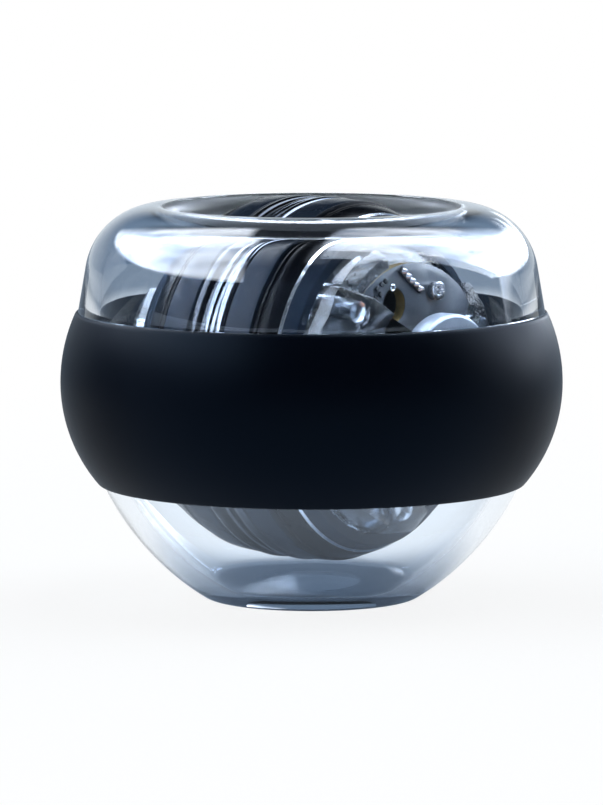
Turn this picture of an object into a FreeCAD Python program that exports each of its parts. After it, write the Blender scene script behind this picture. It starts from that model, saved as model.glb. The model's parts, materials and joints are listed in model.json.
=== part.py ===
import FreeCAD
import Part
import math
import os

Vector = FreeCAD.Vector

# Gyroscopic wrist ball. Millimetres, +Z up, origin in the middle of the flat base.
# The rotor's axle lies level along X.
# Every outline below is (radius, height) for a piece turned about the ball's upright line,
# and (distance along the axle, radius) for a piece turned about the axle.

# Clearances
running_gap = 0.05
fitting_gap = 0.03
play = 0.35
overrun = 1.0

# Drum: two moulded halves round the steel weight ring
drum_radius = 25.3
drum_half_width = 13.0
crown_drop = 0.4
skin_thickness = 1.7
skin_chamfer = 0.35
groove_start = 7.2
groove_width = 1.2
groove_depth = 0.7
cone_drop = 0.9
cone_taper_share = 0.4
cone_step_place = 2.4
cone_step = 0.5
rim_wall = 1.8
rim_chamfer = 0.35
seat_depth = 1.8
seat_step = 0.8
web_half_gap = 4.4
web_thickness = 2.0
locating_wall = 1.2
hub_wall = 2.95
hub_setback = 0.4

# Steel weight ring, with two polished beads and a thin rib between them
bead_half_width = 2.8
bead_width = 1.5
bead_crown = 0.25
bead_groove_depth = 0.7
rib_half_width = 0.35
weight_half_width = 4.6
weight_depth = 5.0

# Axle, its collar and its clips
axle_radius = 2.0
tip_radius = 1.1
tip_chamfer = 0.25
clip_thickness = 0.6
clip_groove_depth = 0.4
clip_width = 1.8
arbor_wall = 1.4
arbor_half_length = 3.0

# Winding spring and its barrel
spring_turns = 5
spring_thickness = 0.3
spring_pitch = 0.85
spring_width = 5.6
spring_tab = 0.8
barrel_wall = 1.1
cover_thickness = 1.0

# Screws
screw_wall_gap = 0.32
screw_angle = 20.0
screw_shank_radius = 1.0
screw_head_radius = 1.9
screw_head_height = 1.4
screw_boss_wall = 1.2
screw_grip = 5.6
socket_share = 0.8
socket_depth = 0.7
small_screw_inset = 3.7
small_screw_angle = -23.0
small_screw_radius = 0.8
small_screw_head_radius = 1.5
small_screw_head_height = 1.0
small_screw_length = 4.0
per_circle = 3

# Clear lens carrier, one in each end of the drum
carrier_thickness = 1.2
post_radius = 2.0
post_height = 3.0
side_lens_from = 18.0
side_lens_to = 43.5
side_lens_height = 4.8
tall_lens_height = 6.8
tall_lens_outer_angles = (45.0, 68.0)
tall_lens_inner_angles = (34.0, 46.0)
tall_lens_depth = 8.56
lens_wall_gap = 0.2
lens_round = 1.2

# Circuit board, lamps, coils and chip on each carrier
board_thickness = 1.6
side_lens_share = 0.157
board_bore = 4.6
notch_gap = 0.3
lamp_radius = 1.5
lamp_flange = 0.35
lamp_flange_height = 1.0
lamp_body_height = 4.6
lamp_inset = 4.16
lamp_angle = 50.0
coil_circle = 7.6
coil_angle = -52.0
coil_height = 3.9
coil_radius = 2.4
bobbin_flange = 0.5
bobbin_core_radius = 1.1
chip_inset = 4.0
chip_angle = 118.0
chip_length = 4.6
chip_width = 3.4
chip_height = 1.5

# Ring that carries the axle's ends, and what is clipped to it
hoop_width = 4.0
hoop_half_thickness = 0.9
hoop_end_web = 0.65
sweep_gap = 0.4
block_half_width = 8.5
block_arm_thickness = 1.12
block_reach = 1.5
block_depth = 2.5
cup_depth = 2.6
cup_wall = 0.8
cup_radius = 9.8
magnet_thickness = 1.7
magnet_gap = 0.15

# Race: the groove that the axle's tips roll round in
groove_half_height = 1.25
race_overlap = 2.5
race_thickness = 1.6
race_seat = 1.0

# Housing
seam_wall = 1.27
shell_wall = 2.6
floor_thickness = 2.8
floor_gap = 2.22
bowl_rise = 0.7
base_corner_radius = 14.5
base_round = 3.0
foot_recess_radius = 7.0
foot_recess_depth = 0.5
crown_proud = 1.3
shoulder_reach = 11.05
lip_round = 2.0
shoulder_lean = 0.95
lap_height = 1.6

# Grip band
grip_recess = 0.5
grip_thickness = 3.0
grip_top_edge = 0.8
grip_bottom_edge = 1.2
grip_above = 9.2
grip_below = 14.9
grip_widest_below = 0.7
grip_edge_round = 0.35
grip_seat_steps = 4

# Places that follow from the sizes above
groove_end = groove_start + groove_width


def cone_radius(x):
    return drum_radius - cone_drop - (x - groove_end) * cone_taper_share


drum_end_radius = cone_radius(drum_half_width)
drum_sweep = math.hypot(drum_half_width, drum_end_radius)
weight_outer = drum_radius - skin_thickness
weight_inner = weight_outer - weight_depth
seat_radius = drum_end_radius - rim_wall
recess_radius = seat_radius - seat_step
seat_place = drum_half_width - seat_depth
web_outer = web_half_gap + web_thickness
hub_radius = axle_radius + running_gap + hub_wall
hub_end = drum_half_width - hub_setback
arbor_radius = axle_radius + fitting_gap + arbor_wall
spring_inner = arbor_radius + spring_thickness
barrel_bore = spring_inner + spring_turns * spring_pitch
barrel_radius = barrel_bore + barrel_wall
barrel_end = web_half_gap - cover_thickness
boss_radius = screw_shank_radius + screw_boss_wall
screw_circle = barrel_radius + boss_radius + screw_wall_gap
carrier_face = seat_place + carrier_thickness
board_back = carrier_face + post_height
board_face = board_back + board_thickness
side_lens_radius = seat_radius * (1 - side_lens_share)
board_radius = side_lens_radius - notch_gap
small_screw_circle = board_radius - small_screw_inset
chip_circle = board_radius - chip_inset
lamp_circle = seat_radius - lamp_inset
tall_lens_inner_radius = seat_radius - tall_lens_depth

stack_end = board_face + coil_height + play + cup_depth + block_depth
hoop_inner = max(drum_sweep + sweep_gap, stack_end)
hoop_outer = hoop_inner + hoop_width
tip_end = hoop_outer - hoop_end_web - fitting_gap * 2
block_place = hoop_inner - block_depth
block_radius = hoop_inner + block_reach
axle_shoulder = hoop_inner - play
groove_radius = hoop_outer + play
race_inner = groove_radius - race_overlap
race_back = groove_half_height + race_thickness

axle_height = floor_thickness + floor_gap + drum_sweep
rim_height = axle_height + drum_radius - crown_proud
grip_seat = groove_radius + seam_wall
grip_radius = grip_seat + grip_thickness
grip_top = axle_height + grip_above
grip_bottom = axle_height - grip_below
crest_radius = grip_seat + grip_recess - shoulder_reach
mouth_radius = crest_radius - lip_round
shoulder_radius = shoulder_reach - shoulder_lean

axle_middle = Vector(0, 0, axle_height)
along_axle = Vector(1, 0, 0)
upward = Vector(0, 0, 1)
nodes = {}


def flat_face(place, start, legs):
    """A closed flat face. A leg is an end point, or a via point and an end point, which make an arc."""
    edges = []
    here = start
    for leg in legs:
        if isinstance(leg[0], tuple):
            edges.append(Part.Arc(place(here), place(leg[0]), place(leg[1])).toShape())
            here = leg[1]
        else:
            edges.append(Part.makeLine(place(here), place(leg)))
            here = leg
    if here != start:
        edges.append(Part.makeLine(place(here), place(start)))
    return Part.Face(Part.Wire(edges))


def upright(point):
    return Vector(point[0], 0, point[1])


def level(point):
    return Vector(point[0], 0, axle_height + point[1])


def turned_upright(start, *legs):
    return flat_face(upright, start, legs).revolve(Vector(0, 0, 0), upward, 360)


def turned_level(start, *legs, sweep=360):
    return flat_face(level, start, legs).revolve(axle_middle, along_axle, sweep)


def rod(x_from, x_to, radius, circle=0, angle=0):
    """A rod parallel to the axle, on a circle about it."""
    middle = on_end(x_from, circle, angle)
    return Part.makeCylinder(radius, x_to - x_from, middle, along_axle)


def tube(x_from, x_to, inner, outer, circle=0, angle=0):
    bore = rod(x_from - overrun, x_to + overrun, inner, circle, angle)
    return rod(x_from, x_to, outer, circle, angle).cut(bore)


def on_end(x, circle, angle):
    """A point on a circle about the axle, at a right-hand turn about +X from straight up."""
    turn = math.radians(angle)
    return Vector(x, -circle * math.sin(turn), axle_height + circle * math.cos(turn))


def turned_about_axle(shape, angle):
    turned = shape.copy()
    turned.rotate(axle_middle, along_axle, angle)
    return turned


def round_the_axle(make, first_angle):
    """The same piece at equal steps round the axle."""
    return [make(first_angle + 360 * k / per_circle) for k in range(per_circle)]


def other_end(shape):
    """The same part used at the drum's other end, turned half round the upright line."""
    turned = shape.copy()
    turned.rotate(Vector(0, 0, 0), upward, 180)
    return turned


def joined(first, others):
    return first.fuse(others).removeSplitter()


def both_ends(name, shape):
    nodes["right_" + name] = shape
    nodes["left_" + name] = other_end(shape)


def arc_radius(drop, rise):
    """Radius of an arc that starts tangent to its rise and falls away by drop over it."""
    return (drop * drop + rise * rise) / (2 * drop)


def between(centre, radius, start, end):
    """The middle of the shorter arc from start to end."""
    first = math.atan2(start[1] - centre[1], start[0] - centre[0])
    last = math.atan2(end[1] - centre[1], end[0] - centre[0])
    half = (first + last) / 2
    return (centre[0] + radius * math.cos(half), centre[1] + radius * math.sin(half))


def tangent_point(point, centre, radius):
    """Where a straight wall that starts at point, outside and below, meets a shoulder arc."""
    reach = math.hypot(point[0] - centre[0], point[1] - centre[1])
    lean = math.atan2(point[1] - centre[1], point[0] - centre[0]) + math.acos(radius / reach)
    return (centre[0] + radius * math.cos(lean), centre[1] + radius * math.sin(lean))


# Housing: the bowl's side is one arc, tangent to upright a little above the seam
bowl_middle_height = axle_height + bowl_rise
bowl_widest = grip_seat + grip_recess
bowl_radius = arc_radius(bowl_widest - base_corner_radius, bowl_middle_height)
bowl_centre = (bowl_widest - bowl_radius, bowl_middle_height)


def bowl_side(inset, height):
    """Radius of the bowl's side at a height, with the wall taken in by inset."""
    radius = bowl_radius - inset
    return bowl_centre[0] + math.sqrt(radius ** 2 - (height - bowl_centre[1]) ** 2)


def bowl_round(inset, floor_height, rounding):
    """Foot, middle and top of the rounding where a flat floor runs into the side."""
    radius = bowl_radius - inset
    height = floor_height + rounding
    reach = math.sqrt((radius - rounding) ** 2 - (height - bowl_centre[1]) ** 2)
    centre = (bowl_centre[0] + reach, height)
    grow = radius / (radius - rounding)
    top = (bowl_centre[0] + reach * grow, bowl_centre[1] + (height - bowl_centre[1]) * grow)
    foot = (centre[0], floor_height)
    return foot, between(centre, rounding, foot, top), top


def grip_seat_line():
    """The hidden seat under the grip band, straight from height to height up to the seam."""
    steps = [k / grip_seat_steps for k in range(grip_seat_steps)]
    heights = [grip_bottom + (axle_height - grip_bottom) * share for share in steps]
    return [(bowl_side(grip_recess, height), height) for height in heights] + [(grip_seat, axle_height)]


def make_lower_shell():
    ledge = axle_height - race_back
    lap_radius = (groove_radius + grip_seat) / 2
    grip_foot = (bowl_side(0, grip_bottom), grip_bottom)
    foot, foot_via, foot_top = bowl_round(0, 0, base_round)
    inner_foot, inner_via, inner_top = bowl_round(shell_wall, floor_thickness, base_round)
    inner_ledge = (bowl_side(shell_wall, ledge), ledge)
    return turned_upright(
        (0, foot_recess_depth),
        (foot_recess_radius, foot_recess_depth),
        (foot_recess_radius, 0),
        foot,
        (foot_via, foot_top),
        (between(bowl_centre, bowl_radius, foot_top, grip_foot), grip_foot),
        *grip_seat_line(),
        (grip_seat, axle_height + lap_height),
        (lap_radius, axle_height + lap_height),
        (lap_radius, axle_height),
        (groove_radius, axle_height),
        (groove_radius, ledge),
        inner_ledge,
        (between(bowl_centre, bowl_radius - shell_wall, inner_ledge, inner_top), inner_top),
        (inner_via, inner_foot),
        (0, floor_thickness),
    )


def make_upper_shell():
    ledge = axle_height + race_back
    lap_radius = (groove_radius + grip_seat) / 2 - fitting_gap
    seat = grip_seat
    shoulder_centre = (crest_radius, rim_height - shoulder_radius)
    wall_foot = (seat + grip_recess, grip_top)
    wall_top = tangent_point(wall_foot, shoulder_centre, shoulder_radius)
    crest = (crest_radius, rim_height)
    lip_centre = (crest_radius, rim_height - lip_round)
    lip_side = (mouth_radius, lip_centre[1])
    edge_round = shell_wall - lip_round
    edge_centre = (mouth_radius + edge_round, lip_centre[1])
    edge_foot = (edge_centre[0], rim_height - shell_wall)
    roof_radius = shoulder_radius - shell_wall
    roof_crest = (crest_radius, rim_height - shell_wall)
    edge_lean = edge_round * math.sqrt(1 / 2)
    edge_via = (edge_centre[0] - edge_lean, edge_centre[1] - edge_lean)
    inner_wall = groove_radius - race_seat
    inner_foot = (inner_wall, grip_top)
    inner_top = tangent_point(inner_foot, shoulder_centre, roof_radius)
    return turned_upright(
        (lap_radius, axle_height),
        (lap_radius, axle_height + lap_height + fitting_gap),
        (seat, axle_height + lap_height + fitting_gap),
        (seat, grip_top),
        wall_foot,
        wall_top,
        (between(shoulder_centre, shoulder_radius, wall_top, crest), crest),
        (between(lip_centre, lip_round, crest, lip_side), lip_side),
        (edge_via, edge_foot),
        roof_crest,
        (between(shoulder_centre, roof_radius, roof_crest, inner_top), inner_top),
        inner_foot,
        (inner_wall, ledge),
        (groove_radius, ledge),
        (groove_radius, axle_height),
    )


def make_grip_band():
    widest = axle_height - grip_widest_below
    seat = grip_seat
    top_edge = seat + grip_top_edge
    upper_radius = arc_radius(grip_radius - top_edge, grip_top - widest)
    upper_centre = (grip_radius - upper_radius, widest)
    seat_line = grip_seat_line()
    foot_seat = seat_line[0]
    bottom_edge = foot_seat[0] + grip_bottom_edge
    lower_radius = arc_radius(grip_radius - bottom_edge, widest - grip_bottom)
    lower_centre = (grip_radius - lower_radius, widest)
    upper_rise = grip_top - grip_edge_round - widest
    lower_fall = widest - grip_bottom - grip_edge_round
    upper_end = (upper_centre[0] + math.sqrt(upper_radius ** 2 - upper_rise ** 2), widest + upper_rise)
    lower_end = (lower_centre[0] + math.sqrt(lower_radius ** 2 - lower_fall ** 2), widest - lower_fall)
    return turned_upright(
        foot_seat,
        (lower_end[0] - grip_edge_round, grip_bottom),
        lower_end,
        (between(lower_centre, lower_radius, lower_end, (grip_radius, widest)), (grip_radius, widest)),
        (between(upper_centre, upper_radius, (grip_radius, widest), upper_end), upper_end),
        (upper_end[0] - grip_edge_round, grip_top),
        (seat, grip_top),
        *reversed(seat_line[1:]),
    )


def make_race(side):
    """A flat ring seated on the shell's ledge; side is 1 above the groove and -1 below it."""
    outer = groove_radius - fitting_gap
    near = axle_height + side * groove_half_height
    far = axle_height + side * race_back
    return turned_upright((race_inner, near), (outer, near), (outer, far), (race_inner, far))


nodes["upper_shell"] = make_upper_shell()
nodes["lower_shell"] = make_lower_shell()
nodes["grip_band"] = make_grip_band()
nodes["upper_race"] = make_race(1)
nodes["lower_race"] = make_race(-1)


# Ring assembly: the hoop turns in the groove and holds the axle's tips in two slots
def make_hoop():
    low = axle_height - hoop_half_thickness
    high = axle_height + hoop_half_thickness
    hoop = turned_upright((hoop_inner, low), (hoop_outer, low), (hoop_outer, high), (hoop_inner, high))
    slot_half = tip_radius + running_gap
    slot_end = hoop_outer - hoop_end_web
    slot_size = (slot_end * 2, slot_half * 2, (hoop_half_thickness + overrun) * 2)
    corner = Vector(-slot_end, -slot_half, low - overrun)
    return hoop.cut(Part.makeBox(*slot_size, corner))


def make_bearing_block():
    """The moulded bearing that forks over the hoop's inner edge and holds the axle."""
    arm = hoop_half_thickness + fitting_gap + block_arm_thickness
    size = (block_radius, block_half_width * 2, arm * 2)
    bar = Part.makeBox(*size, Vector(block_place, -block_half_width, axle_height - arm))
    bar = bar.common(Part.makeCylinder(block_radius, arm * 2, Vector(0, 0, axle_height - arm)))
    fork_half = hoop_half_thickness + fitting_gap
    fork = turned_upright(
        (hoop_inner - fitting_gap, axle_height - fork_half),
        (hoop_outer, axle_height - fork_half),
        (hoop_outer, axle_height + fork_half),
        (hoop_inner - fitting_gap, axle_height + fork_half),
    )
    bore = rod(block_place - overrun, axle_shoulder + fitting_gap, axle_radius + running_gap)
    tip_bore = rod(block_place, hoop_outer, tip_radius + running_gap)
    return bar.cut(fork).cut(bore).cut(tip_bore)


def make_magnet_cup():
    """A pressed steel cup, open towards the drum, on the bearing block's inner face."""
    face = block_place - cup_wall
    mouth = block_place - cup_depth
    bore = axle_radius + play
    return turned_level(
        (block_place, bore),
        (block_place, cup_radius - cup_wall / 2),
        (block_place - cup_wall / 2, cup_radius),
        (mouth, cup_radius),
        (mouth, cup_radius - cup_wall),
        (face, cup_radius - cup_wall),
        (face, bore),
    )


def make_magnet():
    back = block_place - cup_wall
    outer = cup_radius - cup_wall - magnet_gap
    return tube(back - magnet_thickness, back, hub_radius - arbor_wall, outer)


nodes["axle_hoop"] = make_hoop()
both_ends("bearing_block", make_bearing_block())
both_ends("magnet_cup", make_magnet_cup())
both_ends("magnet", make_magnet())


# Axle: a turned steel shaft with a tip at each end, a collar for the spring
# and a clip at each side of the drum
def clip_place():
    return hub_end + running_gap * 2


def make_axle():
    neck = axle_radius - clip_groove_depth
    start = clip_place()
    end = start + clip_thickness + fitting_gap * 2
    half = [
        (axle_shoulder, tip_radius),
        (axle_shoulder, axle_radius - tip_chamfer),
        (axle_shoulder - tip_chamfer, axle_radius),
        (end, axle_radius),
        (end, neck),
        (start, neck),
        (start, axle_radius),
    ]
    tip = [(tip_end, 0), (tip_end, tip_radius - tip_chamfer), (tip_end - tip_chamfer, tip_radius)]
    right = tip + half
    left = [(-x, radius) for x, radius in reversed(right)]
    return turned_level(right[0], *right[1:], *left)


def make_clip():
    start = clip_place() + fitting_gap
    neck = axle_radius - clip_groove_depth + fitting_gap
    ring = tube(start, start + clip_thickness, neck, axle_radius + clip_width)
    gap_width = neck * 2 - clip_groove_depth
    opening = Part.makeBox(
        clip_thickness + overrun * 2,
        gap_width,
        axle_radius + clip_width,
        Vector(start - overrun, -gap_width / 2, axle_height - axle_radius - clip_width),
    )
    return ring.cut(opening)


def make_arbor():
    collar = tube(-arbor_half_length, arbor_half_length, axle_radius + fitting_gap, arbor_radius)
    slot_width = spring_thickness + fitting_gap * 4
    slot = Part.makeBox(
        arbor_half_length * 2 + overrun * 2,
        arbor_wall,
        slot_width,
        Vector(-arbor_half_length - overrun, arbor_radius - spring_tab, axle_height - slot_width / 2),
    )
    return collar.cut(slot)


nodes["axle"] = make_axle()
nodes["spring_arbor"] = make_arbor()
nodes["axle_clips"] = Part.makeCompound([make_clip(), other_end(make_clip())])


# Drum
def drum_outline():
    """The right half's outer side, from the weight ring's bead to the rim."""
    skin = bead_half_width + fitting_gap
    floor = drum_radius - crown_drop - groove_depth
    rib_from = groove_start + groove_width / 3
    rib_to = groove_end - groove_width / 3
    step = groove_end + cone_step_place
    return [
        (skin, drum_radius - skin_chamfer * 2),
        (skin + skin_chamfer, drum_radius - skin_chamfer / 2),
        (groove_start, drum_radius - crown_drop),
        (groove_start, floor),
        (rib_from, floor),
        (rib_from, floor + groove_depth / 2),
        (rib_to, floor + groove_depth / 2),
        (rib_to, floor),
        (groove_end, floor),
        (groove_end, cone_radius(groove_end)),
        (step, cone_radius(step)),
        (step + cone_step, cone_radius(step) - cone_step),
        (drum_half_width - rim_chamfer, cone_radius(drum_half_width - rim_chamfer) - cone_step / 2),
        (drum_half_width, drum_end_radius - rim_chamfer),
    ]


def make_drum_half():
    """The right half, with the pocket for the weight ring, the end recess and the screw bosses."""
    pocket_side = weight_half_width + fitting_gap
    pocket_outer = weight_outer + fitting_gap
    pocket_inner = weight_inner - fitting_gap
    hollow = pocket_inner - locating_wall
    body = turned_level(
        *drum_outline(),
        (drum_half_width, seat_radius),
        (seat_place, seat_radius),
        (seat_place, recess_radius),
        (web_outer, recess_radius),
        (web_outer, hub_radius),
        (hub_end, hub_radius),
        (hub_end, axle_radius + running_gap),
        (web_half_gap, axle_radius + running_gap),
        (web_half_gap, hollow),
        (0, hollow),
        (0, pocket_inner),
        (pocket_side, pocket_inner),
        (pocket_side, pocket_outer),
        (bead_half_width + fitting_gap, pocket_outer),
    )
    return joined(body, screw_rods(screw_angle, web_half_gap, seat_place, boss_radius))


def screw_rods(first_angle, x_from, x_to, radius):
    return round_the_axle(lambda angle: rod(x_from, x_to, radius, screw_circle, angle), first_angle)


def make_right_half():
    bosses = screw_rods(screw_angle, 0, web_half_gap, boss_radius)
    bore = screw_shank_radius + fitting_gap
    half = joined(make_drum_half(), bosses)
    return half.cut(screw_rods(screw_angle, -overrun, seat_place + overrun, bore))


def make_left_half():
    """The same moulding with the spring barrel, and bosses in line with the right half's."""
    half = other_end(make_drum_half())
    barrel = tube(-web_half_gap, barrel_end, barrel_bore, barrel_radius)
    bosses = screw_rods(screw_angle, -web_half_gap, 0, boss_radius)
    bore = screw_shank_radius + fitting_gap
    half = joined(half, [barrel] + bosses)
    half = half.cut(screw_rods(screw_angle, -screw_grip, overrun, bore))
    notch_width = spring_thickness + fitting_gap * 4
    notch_corner = Vector(
        spring_start() - fitting_gap, -barrel_bore - spring_tab + fitting_gap, axle_height - notch_width / 2
    )
    notch = Part.makeBox(barrel_end + spring_width, spring_tab, notch_width, notch_corner)
    outer_bores = screw_rods(-screw_angle, -seat_place - overrun, -web_outer - fitting_gap, bore)
    return half.cut([notch] + outer_bores)


def make_weight_ring():
    """Steel ring between the halves. Its two beads and the rib between them show as bright lines."""
    groove_floor = drum_radius - bead_groove_depth
    bead_start = bead_half_width - bead_width
    bead_middle = bead_half_width - bead_width / 2
    top = drum_radius
    side = drum_radius - bead_crown
    return turned_level(
        (-weight_half_width, weight_inner),
        (weight_half_width, weight_inner),
        (weight_half_width, weight_outer),
        (bead_half_width, weight_outer),
        (bead_half_width, side),
        ((bead_middle, top), (bead_start, side)),
        (bead_start, groove_floor),
        (rib_half_width, groove_floor),
        (rib_half_width, side),
        (-rib_half_width, side),
        (-rib_half_width, groove_floor),
        (-bead_start, groove_floor),
        (-bead_start, side),
        ((-bead_middle, top), (-bead_half_width, side)),
        (-bead_half_width, weight_outer),
        (-weight_half_width, weight_outer),
    )


def spring_start():
    return barrel_end - play - spring_width


def make_mainspring():
    """A flat strip wound from the arbor's slot to the barrel's notch, each half turn a half circle."""
    half_step = spring_pitch / 2
    sides = []
    for inset in (0, spring_thickness):
        radius = barrel_bore - fitting_gap - inset
        middle = 0
        way = -1
        points = [radius * way]
        vias = []
        for _ in range(spring_turns * 2 - 1):
            radius -= half_step / 2
            middle = points[-1] - way * radius
            vias.append((middle, radius, way))
            points.append(middle - way * radius)
            way = -way
        sides.append((points, vias))
    edges = []
    for points, vias in sides:
        for k, (middle, radius, way) in enumerate(vias):
            start, via, end = (points[k], 0), (middle, way * radius), (points[k + 1], 0)
            edges.append(Part.Arc(*(Vector(0, *point) for point in (start, via, end))).toShape())
    outer, inner = sides
    edges.append(Part.makeLine(Vector(0, outer[0][0], 0), Vector(0, inner[0][0], 0)))
    edges.append(Part.makeLine(Vector(0, outer[0][-1], 0), Vector(0, inner[0][-1], 0)))
    face = Part.Face(Part.Wire(Part.__sortEdges__(edges)))
    strip = face.extrude(Vector(spring_width, 0, 0))
    strip.translate(Vector(spring_start(), 0, axle_height))
    inner_end = outer[0][-1]
    reach = inner_end - arbor_radius + spring_tab / 2
    tab_base = axle_height - spring_thickness / 2
    end_corner = Vector(spring_start(), -barrel_bore - spring_tab + spring_thickness * 2, tab_base)
    end_tab = Part.makeBox(spring_width, spring_tab, spring_thickness, end_corner)
    start_corner = Vector(spring_start(), inner_end - reach, tab_base)
    start_tab = Part.makeBox(spring_width, reach, spring_thickness, start_corner)
    return joined(strip, [end_tab, start_tab])


def make_spring_cover():
    return tube(barrel_end, web_half_gap, arbor_radius + play, barrel_radius)


nodes["right_drum_half"] = make_right_half()
nodes["left_drum_half"] = make_left_half()
nodes["weight_ring"] = make_weight_ring()
nodes["mainspring"] = make_mainspring()
nodes["spring_cover"] = make_spring_cover()


# Lens carriers: clear mouldings seated on the step inside each rim
def lens_reach(x):
    """The largest radius that stays inside the drum's own sweep at a distance along the axle."""
    return math.sqrt(drum_sweep ** 2 - x ** 2) - lens_wall_gap


def lens_side(height):
    """Outline of a lens ring in the drum's end: a straight side and a sloping shoulder."""
    top = carrier_face + height
    outer = seat_radius - lens_wall_gap
    side_end = min(math.sqrt((drum_sweep - lens_wall_gap) ** 2 - outer ** 2), top - lens_round)
    return [(carrier_face, outer), (side_end, outer), (top, min(lens_reach(top), outer))]


def tall_lens_plan():
    outer_near, outer_far = tall_lens_outer_angles
    inner_near, inner_far = tall_lens_inner_angles
    outer = seat_radius
    return [
        (outer, outer_near),
        (tall_lens_inner_radius, inner_near),
        (tall_lens_inner_radius, inner_far),
        (outer, outer_far),
    ]


def lens_prism(x_from, x_to, margin, turn):
    corners = [on_end(x_from, circle, angle + turn) for circle, angle in tall_lens_plan()]
    wire = Part.makePolygon(corners + corners[:1])
    if margin:
        wire = wire.makeOffset2D(margin)
    return Part.Face(wire).extrude(Vector(x_to - x_from, 0, 0))


def make_carrier():
    plate = tube(seat_place, carrier_face, hub_radius + play * 4, seat_radius - fitting_gap * 2)
    top = carrier_face + tall_lens_height
    inner = tall_lens_inner_radius / 2
    tall_ring = turned_level(*lens_side(tall_lens_height), (top, inner), (carrier_face, inner))
    pieces = []
    for k in range(per_circle):
        turn = 360 * k / per_circle
        pieces.append(lens_prism(carrier_face, top, 0, turn).common(tall_ring))
        side = lens_side(side_lens_height)
        ring_end = (side[-1][0], side_lens_radius)
        ring_foot = (carrier_face, side_lens_radius)
        side_lens = turned_level(*side, ring_end, ring_foot, sweep=side_lens_to - side_lens_from)
        pieces.append(turned_about_axle(side_lens, side_lens_from + turn))
        post = rod(carrier_face, board_back, post_radius, small_screw_circle, small_screw_angle + turn)
        pieces.append(post)
    carrier = joined(plate, pieces)
    under = seat_place - overrun
    lamp_end = carrier_face + lamp_body_height
    pilot_end = board_face - small_screw_length
    pilot_radius = small_screw_radius + fitting_gap
    bore = screw_shank_radius + fitting_gap * 2
    holes = []
    for k in range(per_circle):
        turn = 360 * k / per_circle
        lamp_pocket = rod(under, lamp_end, lamp_radius + fitting_gap * 2, lamp_circle, lamp_angle + turn)
        pilot = rod(pilot_end, board_face, pilot_radius, small_screw_circle, small_screw_angle + turn)
        screw_hole = rod(under, carrier_face + overrun, bore, screw_circle, screw_angle + turn)
        holes += [lamp_pocket, pilot, screw_hole]
    return carrier.cut(holes)


def make_board():
    board = tube(board_back, board_face, board_bore, board_radius)
    under = board_back - overrun
    over = board_face + overrun
    holes = []
    for k in range(per_circle):
        turn = 360 * k / per_circle
        lens_notch = lens_prism(under, over, notch_gap, turn)
        head_hole = rod(under, over, screw_head_radius + play * 2, screw_circle, screw_angle + turn)
        small_hole = rod(
            under, over, small_screw_radius + fitting_gap, small_screw_circle, small_screw_angle + turn
        )
        holes += [lens_notch, head_hole, small_hole]
    return board.cut(holes)


def make_lamp(angle):
    """A round lamp with its flange under the carrier's plate and a domed end."""
    flange_from = seat_place - lamp_flange_height
    dome_from = carrier_face + lamp_body_height - lamp_radius * 2
    dome_top = dome_from + lamp_radius
    outer = lamp_radius + lamp_flange
    lamp = turned_level(
        (flange_from, 0),
        (flange_from, outer),
        (seat_place, outer),
        (seat_place, lamp_radius),
        (dome_from, lamp_radius),
        ((dome_from + lamp_radius * math.sqrt(1 / 2), lamp_radius * math.sqrt(1 / 2)), (dome_top, 0)),
    )
    lamp.translate(on_end(0, lamp_circle, angle) - axle_middle)
    return lamp


def make_bobbin(angle):
    top = board_face + coil_height
    spool = turned_level(
        (board_face, 0),
        (board_face, coil_radius),
        (board_face + bobbin_flange, coil_radius),
        (board_face + bobbin_flange, bobbin_core_radius),
        (top - bobbin_flange, bobbin_core_radius),
        (top - bobbin_flange, coil_radius),
        (top, coil_radius),
        (top, 0),
    )
    spool.translate(on_end(0, coil_circle, angle) - axle_middle)
    return spool


def make_winding(angle):
    start = board_face + bobbin_flange
    end = board_face + coil_height - bobbin_flange
    return tube(start, end, bobbin_core_radius, coil_radius - bobbin_flange / 2, coil_circle, angle)


def make_chip():
    corner = Vector(board_face, -chip_width / 2, axle_height + chip_circle - chip_length / 2)
    return turned_about_axle(Part.makeBox(chip_height, chip_width, chip_length, corner), chip_angle)


def make_screw(head_place, length, circle, angle, shank, head, height):
    """A pan-head screw with its head towards +X and the head's underside at head_place."""
    top = head_place + height
    body = rod(head_place - length, top, shank, circle, angle)
    body = joined(body, [rod(head_place, top, head, circle, angle)])
    return body.cut(rod(top - socket_depth, top + overrun, shank * socket_share, circle, angle))


def make_big_screws(length):
    return Part.makeCompound(
        round_the_axle(
            lambda angle: make_screw(
                carrier_face,
                length,
                screw_circle,
                angle,
                screw_shank_radius,
                screw_head_radius,
                screw_head_height,
            ),
            screw_angle,
        )
    )


def make_board_screws():
    return Part.makeCompound(
        round_the_axle(
            lambda angle: make_screw(
                board_face,
                small_screw_length - fitting_gap * 4,
                small_screw_circle,
                angle,
                small_screw_radius,
                small_screw_head_radius,
                small_screw_head_height,
            ),
            small_screw_angle,
        )
    )


both_ends("lens_carrier", make_carrier())
both_ends("board", make_board())
both_ends("lamps", Part.makeCompound(round_the_axle(make_lamp, lamp_angle)))
both_ends("bobbins", Part.makeCompound(round_the_axle(make_bobbin, coil_angle)))
both_ends("windings", Part.makeCompound(round_the_axle(make_winding, coil_angle)))
both_ends("chip", make_chip())
both_ends("board_screws", make_board_screws())
nodes["drum_screws"] = make_big_screws(carrier_face + screw_grip - fitting_gap * 4)
nodes["carrier_screws"] = other_end(make_big_screws(carrier_face - web_outer - fitting_gap * 4))

os.makedirs("parts", exist_ok=True)
for name, shape in nodes.items():
    shape.exportStep("parts/" + name + ".step")
print(len(nodes), "nodes; grip diameter", round(grip_radius * 2, 2), "rim height", round(rim_height, 2))
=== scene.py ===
import json
import math

import bmesh
import bpy
from mathutils import Matrix, Vector

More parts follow.
